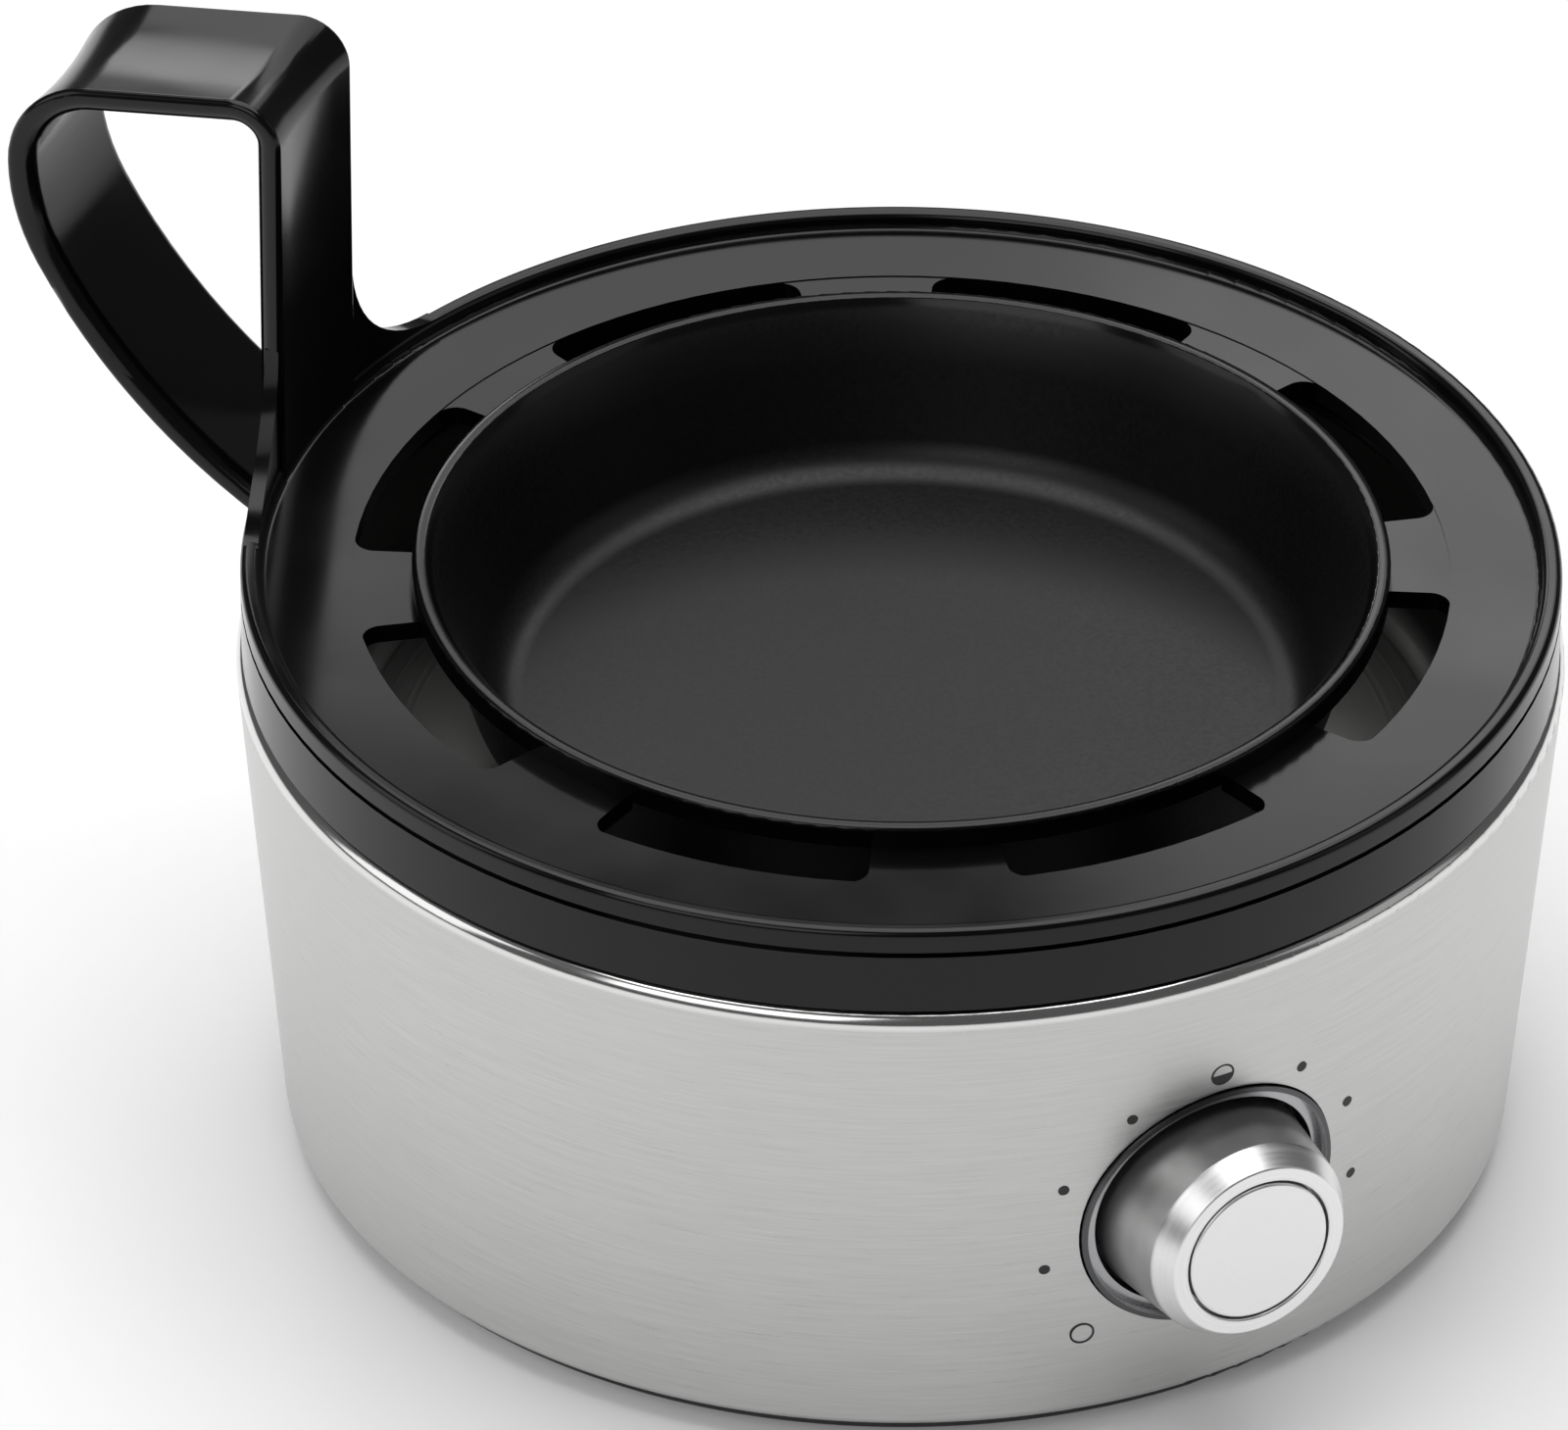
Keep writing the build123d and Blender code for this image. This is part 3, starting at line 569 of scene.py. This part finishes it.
def refine_round(shape, radius, height, size):
    """Cuts the faces of an upright round more finely, and lays the new points on it."""
    def away(point):
        return math.hypot(math.hypot(point.x, point.y) - radius, point.z - height) / size

    on = {vert for vert in shape.verts if abs(away(vert.co) - 1.0) < ON_ROUND}
    edges = {edge for face in shape.faces if on.issuperset(face.verts) for edge in face.edges}
    before = {tuple(vert.co) for vert in shape.verts}
    bmesh.ops.subdivide_edges(shape, edges=list(edges), cuts=ROUND_CUTS, use_grid_fill=True)
    for vert in [vert for vert in shape.verts if tuple(vert.co) not in before]:
        outward = Vector((vert.co.x, vert.co.y, 0.0)).normalized()
        centre = outward * radius + Vector((0.0, 0.0, height))
        vert.co = centre + (vert.co - centre) / away(vert.co)


def smooth_runs(leans):
    """Parts sorted angles in degrees into runs, wherever the step to the next is over the crease."""
    steps = [(after - lean) % 360 for lean, after in zip(leans, leans[1:] + leans[:1])]
    start = steps.index(max(steps)) + 1
    runs = [[]]
    for lean, step in zip(leans[start:] + leans[:start], steps[start:] + steps[:start]):
        runs[-1].append(lean)
        if step > CREASE:
            runs.append([])
    return [run for run in runs if run]


def rows_of(items, field, width, kind=float):
    """A field of a mesh's points or corners, in rows of three."""
    values = np.empty(width * len(items), dtype=kind)
    items.foreach_get(field, values)
    return values.reshape(-1, 3)


def unit(rows, least=TINY):
    """Directions at length one."""
    return rows / np.maximum(np.linalg.norm(rows, axis=1), least)[:, None]


def even_rings(mesh, turn, rounds, fall):
    """Shades the turned faces of a mesh alike all round their axis, whatever their triangles are like."""
    centre, axis = (np.array(v) for v in turn)
    points = rows_of(mesh.vertices, "co", 3) - centre
    corners = rows_of(mesh.loops, "vertex_index", 1, np.int32)
    normals = rows_of(mesh.corner_normals, "vector", 3)

    # Each point's place, and each face's direction, along the axis and away from it
    height = points @ axis
    outward = points - np.outer(height, axis)
    radius = np.linalg.norm(outward, axis=1)
    outward = unit(outward)
    first, second, third = (points[corners[:, k]] for k in range(3))
    facing = np.cross(second - first, third - first)
    area = np.linalg.norm(facing, axis=1)
    facing = unit(facing, TINY**2)
    middle = unit(outward[corners].sum(axis=1))
    sideways = np.abs((facing * np.cross(axis, middle)).sum(axis=1))
    rise, reach = facing @ axis, (facing * middle).sum(axis=1)
    flat = rise > FLAT_RISE
    reach[flat], rise[flat] = -math.sin(fall), math.cos(fall)
    lean = np.round(np.degrees(np.arctan2(rise, reach))).astype(int)

    # A ring is all the points at one radius and height
    places = np.round(np.stack([radius, height], axis=1), RING_DECIMALS)
    _, ring_of, count = np.unique(places, axis=0, return_inverse=True, return_counts=True)
    ring_of = ring_of.reshape(-1)
    on_ring = (count >= FEWEST_ON_RING)[ring_of]
    turned = (sideways < MOST_SIDEWAYS) & on_ring[corners].any(axis=1)

    # A round's own direction is known at every point
    for ring_radius, ring_height, size in rounds:
        out, up = radius - ring_radius, height - ring_height
        on_round = np.abs(np.hypot(out, up) / size - 1.0) < ON_ROUND
        faces = on_round[corners].all(axis=1)
        exact = outward * out[:, None] + np.outer(up, axis)
        normals[np.repeat(faces, 3)] = exact[corners[faces]].reshape(-1, 3)
        turned &= ~faces

    # Elsewhere the faces that meet in a ring without a crease share one direction there
    turned_faces = np.flatnonzero(turned)
    sums = {}
    for face in turned_faces:
        for ring in ring_of[corners[face]]:
            total = sums.setdefault(ring, {}).setdefault(lean[face], np.zeros(2))
            total += area[face] * np.array((reach[face], rise[face]))
    mean = {}
    for ring, leans in sums.items():
        for run in smooth_runs(sorted(leans)):
            total = np.sum([leans[one] for one in run], axis=0)
            mean.update({(ring, one): total for one in run})
    for face in turned_faces:
        for k, point in enumerate(corners[face]):
            out, up = mean[ring_of[point], lean[face]]
            normals[3 * face + k] = outward[point] * out + axis * up
    mesh.normals_split_custom_set(unit(normals, TINY**2).tolist())


def skin(node, material, turn=UPRIGHT, rounds=(), fall=0.0):
    """A copy of a CAD node in one skin, shaded smoothly between its creases, in the node's place."""
    mesh = bpy.data.meshes.new(node + "_skin")
    shape = bmesh.new()
    shape.from_mesh(frame["nodes"][node].data)
    bmesh.ops.remove_doubles(shape, verts=shape.verts, dist=MERGE_DISTANCE)
    bmesh.ops.dissolve_degenerate(shape, edges=shape.edges, dist=SHORTEST_EDGE)
    for radius, height, size in rounds:
        refine_round(shape, radius, height, size)
    bmesh.ops.triangulate(shape, faces=shape.faces)
    for edge in shape.edges:
        edge.smooth = len(edge.link_faces) == 2 and edge.calc_face_angle(0.0) < math.radians(CREASE)
    for face in shape.faces:
        face.smooth = True
        face.material_index = 0
    shape.to_mesh(mesh)
    shape.free()
    for name in ("custom_normal", "sharp_face"):
        if name in mesh.attributes:
            mesh.attributes.remove(mesh.attributes[name])
    mesh.materials.clear()
    mesh.materials.append(material)
    obj = shown(node + "_skin", mesh)
    weighted = obj.modifiers.new("Weighted normals", "WEIGHTED_NORMAL")
    weighted.keep_sharp = True
    weighted.weight = 100
    settled(obj)
    even_rings(obj.data, turn, rounds, fall)
    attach(obj, next(b for b, nodes in BODIES.items() if node in nodes))
    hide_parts(node)
    return obj


# Dial marks


def steel_cone():
    """The steel cone's widest ring, as height and radius, and how much the cone widens with height."""
    points = [vertex.co for vertex in frame["nodes"]["outer_shell"].data.vertices]
    rings = [(point.z, math.hypot(point.x, point.y)) for point in points]
    top, widest = max(rings, key=lambda ring: ring[1])
    middle = (SHELL_LOW.z + SHELL_HIGH.z) / 2
    slope = min((widest - radius) / (top - height) for height, radius in rings if height < middle)
    return top, widest, slope


def mark_place(marks, cone, angle):
    """Point on the steel at an angle round the dial, and the direction out of the steel there."""
    top, widest, slope = cone
    x = marks.circle_radius * math.sin(angle)
    z = DIAL_AXIS.z - marks.circle_drop + marks.circle_radius * math.cos(angle)
    radius = widest - slope * (top - z)
    y = -math.sqrt(radius**2 - x**2)
    return Vector((x, y, z)), Vector((x / radius, y / radius, -slope)).normalized()


def dots_tree(ink):
    """Geometry Nodes that stand a flat printed dot on every point."""
    tree = bpy.data.node_groups.new("Printed dots", "GeometryNodeTree")
    face = tree.interface
    face.new_socket("Geometry", in_out="INPUT", socket_type="NodeSocketGeometry")
    face.new_socket("Dot radius", in_out="INPUT", socket_type="NodeSocketFloat")
    face.new_socket("Ink depth", in_out="INPUT", socket_type="NodeSocketFloat")
    face.new_socket("Geometry", in_out="OUTPUT", socket_type="NodeSocketGeometry")
    given = tree.nodes.new("NodeGroupInput").outputs
    outward = put(tree, "GeometryNodeInputNamedAttribute", {"Name": "outward"}, data_type="FLOAT_VECTOR")
    turn = put(tree, "FunctionNodeAlignRotationToVector", {"Vector": outward.outputs[0]}, axis="Z")
    dot = put(
        tree, "GeometryNodeMeshCylinder",
        {"Vertices": 24, "Radius": given["Dot radius"], "Depth": given["Ink depth"]},
    )
    placed = put(
        tree, "GeometryNodeInstanceOnPoints",
        {"Points": given["Geometry"], "Instance": dot.outputs["Mesh"], "Rotation": turn.outputs[0]},
    )
    solid = put(tree, "GeometryNodeRealizeInstances", {0: placed.outputs[0]})
    inked = put(tree, "GeometryNodeSetMaterial", {"Geometry": solid.outputs[0], "Material": ink})
    put(tree, "NodeGroupOutput", {0: inked.outputs[0]})
    return tree


def printed_dots(marks, ink):
    """The dots on both sides of the top mark."""
    mesh = bpy.data.meshes.new("dial_dots")
    steps = [side * k * marks.step_angle for k in range(1, marks.dots_per_side + 1) for side in (-1, 1)]
    cone = steel_cone()
    places = [mark_place(marks, cone, angle) for angle in steps]
    mesh.from_pydata([place for place, _ in places], [], [])
    outward = mesh.attributes.new("outward", "FLOAT_VECTOR", "POINT")
    for item, (_, normal) in zip(outward.data, places):
        item.vector = normal
    obj = shown("dial_dots", mesh)
    tree = dots_tree(ink)
    modifier = obj.modifiers.new("Printed dots", "NODES")
    modifier.node_group = tree
    sizes = {"Dot radius": marks.dot_radius, "Ink depth": marks.ink_depth}
    for item in tree.interface.items_tree:
        if item.name in sizes:
            modifier[item.identifier] = sizes[item.name]
    return settled(obj)


def arc(radius, start, end, steps=SIGN_STEPS):
    """Points on a circle, from one angle to another."""
    step = (end - start) / steps
    turns = [start + step * i for i in range(steps + 1)]
    return [(radius * math.cos(t), radius * math.sin(t)) for t in turns]


def sign_place(marks, cone, angle):
    """Matrix that stands a flat sign on the steel at an angle round the dial."""
    place, normal = mark_place(marks, cone, angle)
    across = Vector((0, 0, 1)).cross(normal).normalized()
    up = normal.cross(across)
    return Matrix.Translation(place) @ Matrix((across, up, normal)).transposed().to_4x4()


def add_tile(shape, matrix, depth, corners):
    """Adds a thin closed tile over a flat outline."""
    low, high = (
        [shape.verts.new(matrix @ Vector((x, y, z))) for x, y in corners] for z in (-depth / 2, depth / 2)
    )
    shape.faces.new(high)
    shape.faces.new(low[::-1])
    for i in range(len(corners)):
        j = (i + 1) % len(corners)
        shape.faces.new((low[i], low[j], high[j], high[i]))


def printed_signs(marks, ink):
    """Open, half-filled and filled egg signs that show how hard the eggs get."""
    mesh = bpy.data.meshes.new("dial_signs")
    shape = bmesh.new()
    cone = steel_cone()
    outer = marks.sign_radius
    inner = outer - marks.line_width
    half, whole = math.pi, 2 * math.pi
    upper_line, lower_line = (
        arc(outer, start, start + half) + arc(inner, start + half, start) for start in (0.0, half)
    )
    lower_half = arc(outer, half, whole)
    disc = arc(outer, 0.0, whole, 2 * SIGN_STEPS)[:-1]
    end = (marks.dots_per_side + 1) * marks.step_angle
    for angle, tiles in ((-end, [upper_line, lower_line]), (0.0, [lower_half, upper_line]), (end, [disc])):
        for corners in tiles:
            add_tile(shape, sign_place(marks, cone, angle), marks.ink_depth, corners)
    shape.to_mesh(mesh)
    shape.free()
    mesh.materials.append(ink)
    return shown("dial_signs", mesh)


class EGGCOOKER_OT_steel_body(bpy.types.Operator):
    """Finish the steel cone, the cover under it, the foot ring and the gland"""

    bl_idname = "eggcooker.steel_body"
    bl_label = "Steel body"

    def execute(self, context):
        skin("outer_shell", brushed_shell(context.scene.cooker_finishes))
        cover = moulded("cover_black_moulding", (0.012, 0.012, 0.012), rough=0.42, edge=0.0002)
        for node in ("bottom_cover", "cord_gland"):
            skin(node, cover)
        dress(cover, "gland_nut")
        skin("foot_ring", moulded("foot_rubber", (0.02, 0.02, 0.02), rough=0.75, size=0.0003, depth=0.00005))
        return {"FINISHED"}


class EGGCOOKER_OT_carrier(bpy.types.Operator):
    """Finish the carrier ring and its loop handle"""

    bl_idname = "eggcooker.carrier"
    bl_label = "Carrier"

    def execute(self, context):
        black = gloss_black(context.scene.cooker_finishes, "carrier_black_gloss")
        skin("egg_carrier", black, rounds=LIP_ROUNDS, fall=RING_FALL)
        return {"FINISHED"}


class EGGCOOKER_OT_dish(bpy.types.Operator):
    """Finish the poaching dish"""

    bl_idname = "eggcooker.dish"
    bl_label = "Poaching dish"

    def execute(self, context):
        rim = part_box("poaching_dish")[1].x
        black = gloss_black(context.scene.cooker_finishes, "dish_black", inside=rim - DISH_RIM_WIDTH)
        skin("poaching_dish", black)
        return {"FINISHED"}


class EGGCOOKER_OT_heater(bpy.types.Operator):
    """Finish the pan and what is fixed under it"""

    bl_idname = "eggcooker.heater"
    bl_label = "Heater"

    def execute(self, context):
        # The pan's steel is given a dark colour as painted shade, for the shade it lies in under the carrier
        pan = turned_metal("pan_turned_steel", (0.16, 0.16, 0.155), rough=0.38, spacing=0.0005)
        skin("heating_pan", pan)
        spreader = turned_metal("spreader_aluminium", (0.68, 0.68, 0.68), rough=0.38, spacing=0.0008)
        dress(spreader, "heat_spreader")
        sheath = moulded("element_sheath", (0.2, 0.18, 0.16), rough=0.45, size=0.0005, metallic=1.0)
        dress(sheath, "heating_element")
        dress(moulded("bush_ceramic", (0.82, 0.79, 0.73), rough=0.6, size=0.0003), "pin_bushes")
        dress(moulded("seal_silicone", (0.36, 0.36, 0.34), rough=0.55), "pan_seal")
        return {"FINISHED"}


class EGGCOOKER_OT_inner_works(bpy.types.Operator):
    """Finish the screws, the electrics and the wiring"""

    bl_idname = "eggcooker.inner_works"
    bl_label = "Inner works"

    def execute(self, context):
        zinc = moulded("zinc_plate", (0.6, 0.6, 0.57), rough=0.35, size=0.0006, depth=0.00001, metallic=1.0)
        dress(zinc, "tie_screws", "pan_studs", "thermal_fuse", "fuse_clip", "heat_shield")
        dress(zinc, "control_nut", "board_screws")
        dark = moulded("dark_moulding", (0.05, 0.045, 0.042), rough=0.5, size=0.0005)
        dress(dark, "thermostat", "dial_control", "start_switch", "relay", "buzzer")
        nylon = moulded("natural_nylon", (0.74, 0.73, 0.68), rough=0.48, size=0.0006)
        dress(nylon, "board_connector", "terminal_block", "dial_shaft", "knob_hub", "button_stem")
        board = moulded("board_mask", (0.02, 0.14, 0.05), rough=0.4, size=0.0008, tint=0.3)
        dress(board, "control_board")
        can = moulded("can_aluminium", (0.7, 0.7, 0.7), rough=0.32, depth=0.00001, metallic=1.0)
        dress(can, "capacitor")
        sleeve = moulded("lead_sleeving", (0.42, 0.06, 0.045), rough=0.55, size=0.0003)
        dress(sleeve, "heater_leads", "supply_leads")
        dress(moulded("dome_silicone", (0.4, 0.4, 0.38), rough=0.5, size=0.0003), "return_dome")
        return {"FINISHED"}


class EGGCOOKER_OT_dial(bpy.types.Operator):
    """Finish the bezel, the knob and its button"""

    bl_idname = "eggcooker.dial"
    bl_label = "Dial"

    def execute(self, context):
        light = context.scene.cooker_finishes.metal_colour
        side = (KNOB_FACE_RADIUS, [KNOB_SIDE_SHARE * c for c in light])
        # The bezel's rim outside this radius is darkened as painted shade at the edge of its recess
        rim = (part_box("dial_bezel")[1].x - BEZEL_RIM_WIDTH, BEZEL_RIM_SHADE_COLOUR)
        smoke = (0.42, 0.42, 0.43)
        knob = turned_metal("knob_satin", light, 0.33, 0.0003, DIAL_PATTERN, side)
        button = turned_metal("button_satin", light, 0.36, 0.00012, DIAL_PATTERN)
        bezel = turned_metal("bezel_smoke", smoke, 0.24, 0.0002, DIAL_PATTERN, rim)
        for node, material in (("knob", knob), ("button_cap", button), ("dial_bezel", bezel)):
            skin(node, material, DIAL_TURN)
        return {"FINISHED"}


class EGGCOOKER_OT_dial_marks(bpy.types.Operator):
    """Print the dots and egg signs round the dial"""

    bl_idname = "eggcooker.dial_marks"
    bl_label = "Dial marks"

    def execute(self, context):
        marks = context.scene.cooker_marks
        colour = context.scene.cooker_finishes.ink_colour
        ink = moulded("mark_ink", colour, rough=0.5, size=0.0001, depth=0.000005)
        for piece in (printed_dots(marks, ink), printed_signs(marks, ink)):
            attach(piece, "base")
        return {"FINISHED"}


class EGGCOOKER_OT_stage(bpy.types.Operator):
    """Set up the floor, the lights and the camera"""

    bl_idname = "eggcooker.stage"
    bl_label = "Stage"

    def execute(self, context):
        stage = context.scene.cooker_stage
        context.scene.view_settings.view_transform = "Standard"
        self.floor(stage)
        self.world(context, stage)
        self.lights(stage)
        self.camera(context, stage)
        return {"FINISHED"}

    def floor(self, stage):
        """A wide pale floor."""
        material, tree, shader, where = fresh("pale_floor", 0.0)
        grain = shared(tree, "grain", {"Vector": where, "Grain size": 0.004})
        feed(tree, shader, "Base Color", tinted(tree, stage.floor_colour, FLOOR_TINT, grain["Cloud"]))
        shader.inputs["Roughness"].default_value = 0.9
        shader.inputs["Specular IOR Level"].default_value = 0.1
        shader.inputs["Emission Color"].default_value = (1.0, 1.0, 1.0, 1.0)
        shader.inputs["Emission Strength"].default_value = stage.floor_glow
        mesh = bpy.data.meshes.new("floor")
        corners = [(FLOOR_HALF * x, FLOOR_HALF * y, 0) for x, y in ((-1, -1), (1, -1), (1, 1), (-1, 1))]
        mesh.from_pydata(corners, [], [(0, 1, 2, 3)])
        mesh.materials.append(material)
        shown("floor", mesh)

    def world(self, context, stage):
        """An even dim room."""
        world = bpy.data.worlds.new("studio")
        world.use_nodes = True
        background = world.node_tree.nodes["Background"]
        background.inputs["Color"].default_value = (1.0, 1.0, 1.0, 1.0)
        background.inputs["Strength"].default_value = stage.surround
        context.scene.world = world

    def lights(self, stage):
        """Soft panels, placed from where the camera stands."""
        towards = Vector((math.sin(stage.azimuth), -math.cos(stage.azimuth), 0))
        right = Vector((math.cos(stage.azimuth), math.sin(stage.azimuth), 0))
        up = Vector((0, 0, 1))
        for name, (place, size) in PANELS.items():
            light = bpy.data.lights.new(name + "_panel", "AREA")
            light.shape = "RECTANGLE"
            light.size, light.size_y = size
            light.energy = getattr(stage, name + "_light")
            lamp = shown(name + "_panel", light)
            lamp.location = place[0] * towards + place[1] * right + place[2] * up
            aim = LIGHT_AIM - lamp.location
            lamp.rotation_euler = aim.to_track_quat("-Z", "Y").to_euler()

    def camera(self, context, stage):
        """The camera at the photograph's place."""
        data = bpy.data.cameras.new("camera")
        data.lens = stage.lens
        data.sensor_width = 36.0
        data.shift_x = stage.shift_right
        data.shift_y = stage.shift_up
        data.clip_start = 0.05
        data.clip_end = 20.0
        camera = shown("camera", data)
        flat = math.cos(stage.elevation)
        back = Vector((
            math.sin(stage.azimuth) * flat, -math.cos(stage.azimuth) * flat, math.sin(stage.elevation),
        ))
        look = (-back).to_track_quat("-Z", "Y").to_matrix() @ Matrix.Rotation(stage.roll, 3, "Z")
        place = Vector((0, 0, stage.target_height)) + back * stage.distance
        camera.matrix_world = Matrix.Translation(place) @ look.to_4x4()
        context.scene.camera = camera


OPERATORS = (
    EGGCOOKER_OT_stage,
    EGGCOOKER_OT_steel_body,
    EGGCOOKER_OT_carrier,
    EGGCOOKER_OT_dish,
    EGGCOOKER_OT_heater,
    EGGCOOKER_OT_inner_works,
    EGGCOOKER_OT_dial,
    EGGCOOKER_OT_dial_marks,
)

VALUES = {
    "cooker_finishes": CookerFinishes,
    "cooker_marks": CookerMarks,
    "cooker_stage": CookerStage,
}


class EGGCOOKER_PT_panel(bpy.types.Panel):
    """Lists the cooker's operators and values"""

    bl_label = "Egg cooker"
    bl_idname = "EGGCOOKER_PT_panel"
    bl_space_type = "VIEW_3D"
    bl_region_type = "UI"
    bl_category = "Egg cooker"

    def draw(self, context):
        for operator in OPERATORS:
            self.layout.operator(operator.bl_idname)
        for name in VALUES:
            values = getattr(context.scene, name)
            box = self.layout.box()
            for field in values.bl_rna.properties:
                if field.identifier not in ("rna_type", "name"):
                    box.prop(values, field.identifier)


CLASSES = (*VALUES.values(), *OPERATORS, EGGCOOKER_PT_panel)


def register():
    for kind in CLASSES:
        bpy.utils.register_class(kind)
    for name, kind in VALUES.items():
        setattr(bpy.types.Scene, name, PointerProperty(type=kind))


def unregister():
    for name in VALUES:
        delattr(bpy.types.Scene, name)
    for kind in reversed(CLASSES):
        bpy.utils.unregister_class(kind)


def main():
    register()
    for operator in OPERATORS:
        space, name = operator.bl_idname.split(".")
        getattr(getattr(bpy.ops, space), name)()


if __name__ == "__main__":
    main()
